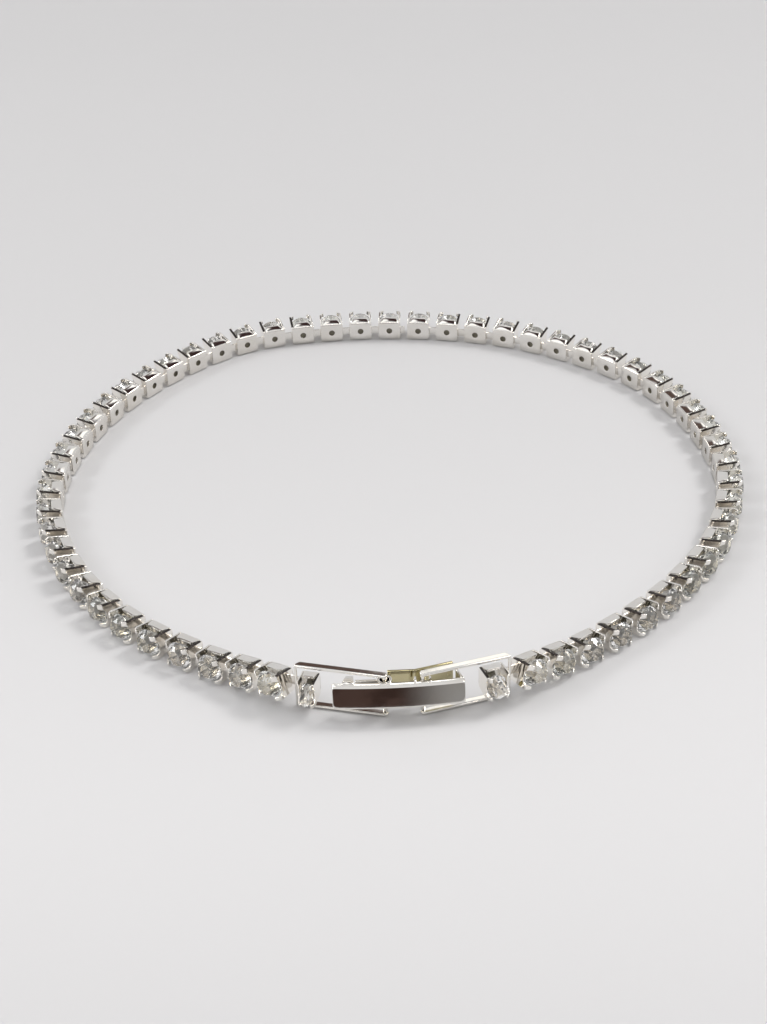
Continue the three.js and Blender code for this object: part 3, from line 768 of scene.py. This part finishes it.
class BRACELET_OT_cups(BraceletOperator, bpy.types.Operator):
    """Builds the silver cups of both rows and the strips that join them"""
    bl_idname = "bracelet.cups"
    bl_label = "Build Cups"

    def execute(self, context):
        sizes, colours = self.settings(context)
        shade = [SATIN_SHARE * c for c in colours.cups]
        satin = plated_silver("satin_silver", shade, roughness=0.2, grain=2600.0, bump=0.25)
        bright = plated_silver("bright_silver", colours.cups, roughness=0.06, grain=1500.0, bump=0.1)
        # Painted shade: dark metal for the near end walls' rims, standing in for their dark reflection
        painted_shade = plated_silver("dark_rim_shade", colours.rims, roughness=0.22, grain=2200.0, bump=0.2)
        plate = cup_plate(sizes)
        walls = cup_walls(sizes)
        rim = {near: shaded_end_rim(sizes, near) for near in (-1, 1)}
        reach = sizes.cup_length / 2 - STRIP_OVERLAP
        for side, (places, end_place, end_length) in ROWS.items():
            plates = []
            shells = []
            rims = []
            lengths = [sizes.cup_length] * len(places) + [end_length]
            for place, length in zip([*places, end_place], lengths):
                # The end wall that faces the camera gets the painted shade strip, only where the row runs
                # across the view
                near = 1 if math.sin(place[3] * DEGREE) < 0 else -1
                share = length / sizes.cup_length
                matrix = place_matrix(place)
                plates.append(moved(stretched(plate, share), matrix))
                shells.append(moved(stretched(walls, share), matrix))
                if abs(math.sin(place[3] * DEGREE)) > RIM_SLANT:
                    rims.append(moved(stretched(rim[near], share), matrix))
            for first, second in zip(places, places[1:]):
                plates.append(strip_between(sizes, first, reach, second, -reach))
            end_reach = end_length / 2 - STRIP_OVERLAP
            if side == "left":
                plates.append(strip_between(sizes, places[-1], reach, end_place, -end_reach))
                plates.append(strip_between(sizes, RIGHT_CUPS[-1], sizes.cup_length / 2 + ROW_GAP,
                                            places[0], -reach))
            else:
                plates.append(strip_between(sizes, end_place, end_reach, places[0], -reach))
            row = "stone_row_" + side
            to_object("cup_plates_" + side, join(plates), satin, 35.0, CHAIN_BODY, (row,))
            to_object("cup_walls_" + side, join(shells), bright, 35.0, CHAIN_BODY)
            to_object("cup_shaded_rims_" + side, join(rims), painted_shade, 35.0, CHAIN_BODY)
        return {"FINISHED"}


class BRACELET_OT_stones(BraceletOperator, bpy.types.Operator):
    """Builds the cut glass stones of both rows"""
    bl_idname = "bracelet.stones"
    bl_label = "Build Stones"

    def execute(self, context):
        sizes, colours = self.settings(context)
        glass = cut_glass("glass_stones", colours.stones)
        # Painted shade: dark discs at the culets make the holes and the stones' centres dark
        shade_disc = plated_silver("dark_disc_shade", colours.shade_disc, roughness=0.3, grain=3200.0, bump=0.3)
        stone = unit_stone(sizes)
        disc = take(prism(circle_points(SHADE_DISC_RADIUS, 16), *SHADE_DISC_DEPTHS, "Y"))
        settle = Matrix.Translation((0, 0, STONE_RISE)) @ Matrix.Rotation(-STONE_LEAN * DEGREE, 4, "X")
        for side, (places, end_place, end_length) in ROWS.items():
            parts = []
            for number, place in enumerate(places):
                turn = settle @ Matrix.Rotation(number * STONE_STEP, 4, "Y")
                parts.append(moved(stone, place_matrix(place) @ turn))
            narrow = (end_length - 2 * sizes.sheet + END_STONE_OVERLAP) / sizes.stone_width
            parts.append(moved(stretched(stone, min(narrow, 1.0)), place_matrix(end_place)))
            to_object("stones_" + side, join(parts), glass, 0.0, CHAIN_BODY)
            dark_discs = [moved(disc, place_matrix(place)) for place in [*places, end_place]]
            to_object("stone_shade_discs_" + side, join(dark_discs), shade_disc, 0.0, CHAIN_BODY)
        return {"FINISHED"}


class BRACELET_OT_frames(BraceletOperator, bpy.types.Operator):
    """Builds the two clasp frames, their pins and the catch plate"""
    bl_idname = "bracelet.frames"
    bl_label = "Build Clasp Frames"

    def execute(self, context):
        colours = context.scene.bracelet_colours
        metal = plated_silver("polished_frames", colours.clasp, roughness=0.07, grain=1800.0, bump=0.12)
        for side, way, tip in (("left", -1, LEFT_TIP), ("right", 1, RIGHT_TIP)):
            frame_part = moved(self.frame_part(way), place_matrix(tip))
            to_object(side + "_clasp_frame", frame_part, metal, 40.0, CHAIN_BODY, (side + "_frame",))
        # The catch's gold tone is darkened as painted shade for its place behind the lever
        warm = plated_silver("catch_gold_and_shade", colours.catch, roughness=0.08, grain=1800.0, bump=0.12)
        raised = place_matrix(CLASP) @ Matrix.Translation((0, 0, CATCH_RISE))
        to_object("catch_plate", moved(self.catch_plate(), raised), warm, 40.0, CHAIN_BODY)
        return {"FINISHED"}

    def frame_part(self, way):
        """One frame: two rails, the strap at its root and the pin near its tip."""
        half = FRAME_HEIGHT / 2
        root = way * (FRAME_LENGTH + STRAP_THICKNESS / 2)
        nose = way * RAIL_NOSE
        rail = [(0, RAIL_INSET + RAIL_NOSE_SLANT), (nose, RAIL_INSET), (root - way * RAIL_ROOT, RAIL_INSET),
                (root, RAIL_INSET + RAIL_ROOT_SLANT), (root, RAIL_OUTER), (nose, RAIL_OUTER),
                (0, RAIL_OUTER - RAIL_NOSE_SLANT)]
        upper = prism(rail, half - RAIL_THICKNESS, half)
        lower = prism(rail, -half, RAIL_THICKNESS - half)
        low, high = sorted((root, root - way * STRAP_THICKNESS))
        strap_half = half - STRAP_INSET
        strap = prism(box_outline(low, high, STRAP_INNER, RAIL_OUTER), -strap_half, strap_half)
        circle = [(way * PIN_SETBACK + x, PIN_DEPTH + y) for x, y in circle_points(PIN_RADIUS, 20)]
        pin = prism(circle, PIN_INSET - half, half - PIN_INSET)
        return join([
            take(round_edges(upper, RAIL_ROUNDING, 4)),
            take(round_edges(lower, RAIL_ROUNDING, 4)),
            take(round_edges(strap, STRAP_ROUNDING, 3)),
            take(round_edges(pin, PIN_ROUNDING, 2)),
        ])

    def catch_plate(self):
        """The bent plate behind the lever and the stem that holds it on the right frame's pin."""
        angle = RIGHT_FRAME_ANGLE * DEGREE

        def spot(along, outward):
            return (TIP_GAP + along * math.cos(angle) + outward * math.sin(angle),
                    outward * math.cos(angle) - along * math.sin(angle))

        back = CATCH_INSET + CATCH_THICKNESS
        plate = [(-CATCH_OVERHANG, -CATCH_INSET), spot(0, -CATCH_INSET), spot(CATCH_LENGTH, -CATCH_INSET),
                 spot(CATCH_LENGTH, -back), spot(0, -back), (-CATCH_OVERHANG, -back)]
        pin = spot(PIN_SETBACK, PIN_DEPTH)
        stem = box_outline(pin[0] - STEM_HALF, pin[0] + STEM_HALF, STEM_OVERLAP - back, pin[1])
        stem_half = CATCH_HALF - STEM_INSET
        return join([
            take(round_edges(prism(plate, -CATCH_HALF, CATCH_HALF), CATCH_ROUNDING, 3)),
            take(round_edges(prism(stem, -stem_half, stem_half), STEM_ROUNDING, 2)),
        ])


class BRACELET_OT_lever(BraceletOperator, bpy.types.Operator):
    """Builds the clasp's lever with its knuckle, hook, leaf, nose and tab"""
    bl_idname = "bracelet.lever"
    bl_label = "Build Clasp Lever"

    def execute(self, context):
        colours = context.scene.bracelet_colours
        metal = plated_silver("polished_lever", colours.clasp, roughness=0.05, grain=900.0, bump=0.08)
        left = LEFT_FRAME_ANGLE * DEGREE
        pin = (-PIN_SETBACK * math.cos(left) - PIN_DEPTH * math.sin(left),
               -PIN_SETBACK * math.sin(left) + PIN_DEPTH * math.cos(left))
        parts = [self.front_plate(), self.knuckle(pin), *self.hook()]
        parts += [self.leaf(pin), self.nose(), self.tab()]
        raised = place_matrix(CLASP) @ Matrix.Translation((0, 0, LEVER_RISE))
        part = moved(join(parts), raised)
        to_object("clasp_lever_shell", part, metal, 40.0, LEVER_BODY, ("clasp_lever",))
        return {"FINISHED"}

    def front_plate(self):
        """The bowed front plate, slanted and with rounded ends and edges."""
        middle = np.linspace(LEVER_LEFT + LEVER_CORNER, LEVER_RIGHT - LEVER_CORNER, LEVER_COLUMNS)
        arc = [LEVER_CORNER * (1 - math.cos(i * 15 * DEGREE)) for i in range(6)]
        stops = [LEVER_LEFT + a for a in arc] + list(middle) + [LEVER_RIGHT - a for a in reversed(arc)]
        slant = math.sin(LEVER_TILT * DEGREE)
        lower = math.cos(LEVER_TILT * DEGREE)
        bm = bmesh.new()
        columns = []
        for along in stops:
            section = self.section(along)
            columns.append([bm.verts.new((along, z * slant - out, z * lower)) for out, z in section])
        count = len(columns[0])
        for first, second in zip(columns, columns[1:]):
            for k in range(count):
                n = (k + 1) % count
                bm.faces.new((first[k], first[n], second[n], second[k]))
        bm.faces.new(columns[0])
        bm.faces.new(list(reversed(columns[-1])))
        bmesh.ops.recalc_face_normals(bm, faces=bm.faces[:])
        return take(bm)

    def section(self, along):
        """The front plate's section as (outward, up), lower at its rounded ends."""
        inset = 0.0
        for end_at in (LEVER_LEFT, LEVER_RIGHT):
            gap = abs(along - end_at)
            if gap < LEVER_CORNER:
                rise = max(0.0, LEVER_CORNER ** 2 - (LEVER_CORNER - gap) ** 2)
                inset = LEVER_CORNER - math.sqrt(rise)
        up = LEVER_HEIGHT / 2 - inset
        face = lever_face(along)
        depth, upper, lower = LEVER_EDGE
        points = [(face - LEVER_THICKNESS, -up), (face - LEVER_THICKNESS, up)]
        turns = [step * DEGREE for step in range(0, 91, 15)]
        for angle in turns:
            points.append((face - depth * (1 - math.sin(angle)), up - upper * (1 - math.cos(angle))))
        for angle in reversed(turns):
            points.append((face - depth * (1 - math.sin(angle)), lower * (1 - math.cos(angle)) - up))
        return points

    def inside(self, along):
        """Where the front plate's inner side is, past its slant, so that what joins it overlaps it."""
        foot = LEVER_HEIGHT / 2 * math.sin(LEVER_TILT * DEGREE)
        return lever_face(along) - LEVER_THICKNESS / 2 - foot * LEVER_FOOT + LEVER_OVERLAP

    def knuckle(self, pin):
        """The ring round the left frame's pin."""
        bore = PIN_RADIUS + KNUCKLE_CLEARANCE
        outer = circle_points(bore + KNUCKLE_WALL, 32)
        ring = ring_plate(outer, circle_points(bore, 32), -LEVER_LEAF, LEVER_LEAF)
        upright = Matrix.Rotation(90 * DEGREE, 3, "X")
        bmesh.ops.rotate(ring, verts=ring.verts, cent=(0, 0, 0), matrix=upright)
        bmesh.ops.translate(ring, verts=ring.verts, vec=(pin[0], -pin[1], 0))
        return take(round_edges(ring, KNUCKLE_ROUNDING, 2))

    def hook(self):
        """The two legs on both sides of the right frame's pin."""
        right = RIGHT_FRAME_ANGLE * DEGREE
        pin = (TIP_GAP + PIN_SETBACK * math.cos(right) + PIN_DEPTH * math.sin(right),
               PIN_DEPTH * math.cos(right) - PIN_SETBACK * math.sin(right))
        legs = []
        for sign in (-1, 1):
            low, high = sorted(pin[0] + sign * step for step in HOOK_LEG)
            leg = [(low, pin[1] - PIN_RADIUS), (high, pin[1] - PIN_RADIUS),
                   (high, self.inside(high)), (low, self.inside(low))]
            legs.append(take(round_edges(prism(leg, -LEVER_LEAF, LEVER_LEAF), LEAF_ROUNDING, 2)))
        return legs

    def leaf(self, pin):
        """The flat bar from the knuckle towards the nose."""
        stop = pin[0] - PIN_RADIUS - KNUCKLE_CLEARANCE - LEAF_GAP
        bar = box_outline(stop - LEAF_LENGTH, stop, pin[1] - LEAF_HALF, pin[1] + LEAF_HALF)
        return take(round_edges(prism(bar, -LEVER_LEAF, LEVER_LEAF), LEAF_ROUNDING, 2))

    def nose(self):
        """The slanted block at the plate's left end."""
        base = LEVER_LEFT + NOSE_PLACE
        back = lever_face(base) - LEVER_THICKNESS - NOSE_DEPTH
        root = self.inside(base)
        block = [(base + NOSE_SLANT[0], root), (base + NOSE_LENGTH, root),
                 (base + NOSE_LENGTH, back), (base + NOSE_SLANT[1], back)]
        return take(round_edges(prism(block, -LEVER_LEAF, LEVER_LEAF), NOSE_ROUNDING, 3))

    def tab(self):
        """The bent tab at the plate's right end."""
        back = lever_face(LEVER_RIGHT) - LEVER_THICKNESS - TAB_DEPTH
        root = self.inside(LEVER_RIGHT)
        bent = [(LEVER_RIGHT - TAB_ROOT[0], root), (LEVER_RIGHT - TAB_ROOT[1], root),
                (LEVER_RIGHT - TAB_END[0], back), (LEVER_RIGHT - TAB_END[1], back)]
        return take(round_edges(prism(bent, -LEVER_LEAF, LEVER_LEAF), TAB_ROUNDING, 3))


class BRACELET_OT_stage(BraceletOperator, bpy.types.Operator):
    """Builds the pale table, the lights and the camera"""
    bl_idname = "bracelet.stage"
    bl_label = "Build Stage"

    def execute(self, context):
        colours = context.scene.bracelet_colours
        scene = context.scene
        mesh = bpy.data.meshes.new("table_top")
        corners = [(x * TABLE_HALF, y * TABLE_HALF, 0) for x, y in ((-1, -1), (1, -1), (1, 1), (-1, 1))]
        mesh.from_pydata(corners, [], [(0, 1, 2, 3)])
        mat, nodes, links, shader = new_material("pale_table")
        spot = nodes.new("ShaderNodeTexCoord")
        split = nodes.new("ShaderNodeSeparateXYZ")
        links.new(spot.outputs["Object"], split.inputs["Vector"])
        depth = nodes.new("ShaderNodeMapRange")
        depth.inputs["From Min"].default_value = TABLE_NEAR
        depth.inputs["From Max"].default_value = TABLE_FAR
        links.new(split.outputs["Y"], depth.inputs["Value"])
        # Painted light: the table's colour is brighter near the bracelet and darker far off, for the
        # lights' falloff
        painted_light = nodes.new("ShaderNodeValToRGB")
        painted_light.color_ramp.interpolation = "B_SPLINE"
        painted_light.color_ramp.elements.remove(painted_light.color_ramp.elements[0])
        for spot_at, share in TABLE_PAINTED_LIGHT:
            stop = painted_light.color_ramp.elements.new(spot_at)
            stop.color = (*[share * c for c in colours.table], 1)
        painted_light.color_ramp.elements.remove(painted_light.color_ramp.elements[-1])
        links.new(depth.outputs["Result"], painted_light.inputs["Fac"])
        links.new(painted_light.outputs["Color"], shader.inputs["Base Color"])
        shader.inputs["Roughness"].default_value = 0.55
        shader.inputs["Specular IOR Level"].default_value = 0.3
        mesh.materials.append(mat)
        table = bpy.data.objects.new("table_top", mesh)
        scene.collection.objects.link(table)
        for light in LIGHTS:
            self.light(*light)
        self.world(scene)
        self.camera(scene)
        scene.view_settings.view_transform = "Standard"
        return {"FINISHED"}

    def light(self, name, place, size, power, colour):
        """One square light that shines at the bracelet."""
        data = bpy.data.lights.new(name, "AREA")
        data.size = size
        data.energy = power
        data.color = colour
        obj = bpy.data.objects.new(name, data)
        obj.location = place
        obj.rotation_euler = Vector(place).to_track_quat("Z", "Y").to_euler()
        bpy.context.scene.collection.objects.link(obj)

    def world(self, scene):
        """The soft room: a pale sky with bright spots, a dark low part behind the camera and the cards."""
        world = bpy.data.worlds.new("soft_room")
        scene.world = world
        world.use_nodes = True
        nodes = world.node_tree.nodes
        links = world.node_tree.links
        back = nodes["Background"]
        spot = nodes.new("ShaderNodeTexCoord")
        split = nodes.new("ShaderNodeSeparateXYZ")
        links.new(spot.outputs["Generated"], split.inputs["Vector"])

        def between(source, low, high):
            step = nodes.new("ShaderNodeMapRange")
            step.interpolation_type = "SMOOTHSTEP"
            step.inputs["From Min"].default_value = low
            step.inputs["From Max"].default_value = high
            links.new(source, step.inputs["Value"])
            return step.outputs["Result"]

        def times(first, second):
            node = nodes.new("ShaderNodeMath")
            node.operation = "MULTIPLY"
            links.new(first, node.inputs[0])
            links.new(second, node.inputs[1])
            return node.outputs["Value"]

        def mixed(share, first, second):
            node = nodes.new("ShaderNodeMix")
            node.data_type = "RGBA"
            links.new(share, node.inputs["Factor"])
            for socket, colour in ((node.inputs[6], first), (node.inputs[7], second)):
                if isinstance(colour, tuple):
                    socket.default_value = (*colour, 1)
                else:
                    links.new(colour, socket)
            return node.outputs[2]

        side, depth, height = split.outputs["X"], split.outputs["Y"], split.outputs["Z"]
        sky = mixed(between(height, 0.0, 0.10), HORIZON, UPPER_ROOM)
        sky = mixed(between(depth, -0.1, 0.5), NEAR_ROOM, sky)
        sky = mixed(between(height, 0.55, 0.9), sky, CEILING)
        behind = times(between(depth, -0.40, -0.55), between(height, 0.42, 0.32))
        stretch = nodes.new("ShaderNodeVectorMath")
        stretch.operation = "MULTIPLY"
        links.new(spot.outputs["Generated"], stretch.inputs[0])
        stretch.inputs[1].default_value = BLOTCH_STRETCH
        blotch = nodes.new("ShaderNodeTexNoise")
        blotch.inputs["Scale"].default_value = 1.0
        blotch.inputs["Detail"].default_value = 3.0
        links.new(stretch.outputs["Vector"], blotch.inputs["Vector"])
        brown = mixed(between(blotch.outputs["Fac"], 0.42, 0.62), LIGHT_BROWN, DARK_BROWN)
        low_side = mixed(between(side, 0.04, 0.25), brown, LOW_GREY)
        sky = mixed(times(behind, between(side, -0.45, -0.30)), sky, low_side)
        for x, y, z in SKY_SPOTS:
            away = nodes.new("ShaderNodeVectorMath")
            away.operation = "DISTANCE"
            links.new(spot.outputs["Generated"], away.inputs[0])
            away.inputs[1].default_value = (x, y, z)
            sky = mixed(between(away.outputs["Value"], *SPOT_REACH), sky, SPOT_COLOUR)
        ahead = between(depth, 0.0, 0.2)
        for sides, heights, colour in CARDS:
            across = times(between(side, sides[0], sides[1]), between(side, sides[3], sides[2]))
            tall = times(between(height, heights[0], heights[1]), between(height, heights[3], heights[2]))
            card = times(across, tall)
            sky = mixed(times(card, ahead), sky, colour)
        links.new(sky, back.inputs["Color"])
        back.inputs["Strength"].default_value = ROOM_STRENGTH

    def camera(self, scene):
        """The camera of the main view."""
        data = bpy.data.cameras.new("camera")
        data.sensor_width = CAMERA_SENSOR
        data.lens = CAMERA_LENS
        data.clip_start = 0.001
        obj = bpy.data.objects.new("camera", data)
        pitch = CAMERA_PITCH * DEGREE
        roll = CAMERA_ROLL * DEGREE
        ahead = Vector((0, math.cos(pitch), -math.sin(pitch)))
        up = Vector((0, math.sin(pitch), math.cos(pitch)))
        right = Vector((1, 0, 0))
        cam_right = right * math.cos(roll) + up * math.sin(roll)
        cam_up = up * math.cos(roll) - right * math.sin(roll)
        m = Matrix((cam_right, cam_up, -ahead)).transposed().to_4x4()
        m.translation = Vector(CAMERA_PLACE)
        obj.matrix_world = m
        scene.collection.objects.link(obj)
        scene.camera = obj


class BRACELET_PT_panel(bpy.types.Panel):
    """Lists the bracelet's settings and building steps"""
    bl_label = "Tennis Bracelet"
    bl_idname = "BRACELET_PT_panel"
    bl_space_type = "VIEW_3D"
    bl_region_type = "UI"
    bl_category = "Bracelet"

    def draw(self, context):
        layout = self.layout
        for group in (context.scene.bracelet_sizes, context.scene.bracelet_colours):
            for name in group.__annotations__:
                layout.prop(group, name)
        for step in STEPS:
            layout.operator(step.bl_idname)


STEPS = (BRACELET_OT_cups, BRACELET_OT_stones, BRACELET_OT_frames, BRACELET_OT_lever, BRACELET_OT_stage)
CLASSES = (BraceletSizes, BraceletColours, *STEPS, BRACELET_PT_panel)


def register():
    """Makes the settings, operators and panel known."""
    for cls in CLASSES:
        bpy.utils.register_class(cls)
    bpy.types.Scene.bracelet_sizes = bpy.props.PointerProperty(type=BraceletSizes)
    bpy.types.Scene.bracelet_colours = bpy.props.PointerProperty(type=BraceletColours)


def unregister():
    """Takes the settings, operators and panel away again."""
    del bpy.types.Scene.bracelet_colours
    del bpy.types.Scene.bracelet_sizes
    for cls in reversed(CLASSES):
        bpy.utils.unregister_class(cls)


def main():
    """Builds everything in order."""
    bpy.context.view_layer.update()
    register()
    bpy.ops.bracelet.cups()
    bpy.ops.bracelet.stones()
    bpy.ops.bracelet.frames()
    bpy.ops.bracelet.lever()
    bpy.ops.bracelet.stage()


if __name__ == "__main__":
    main()
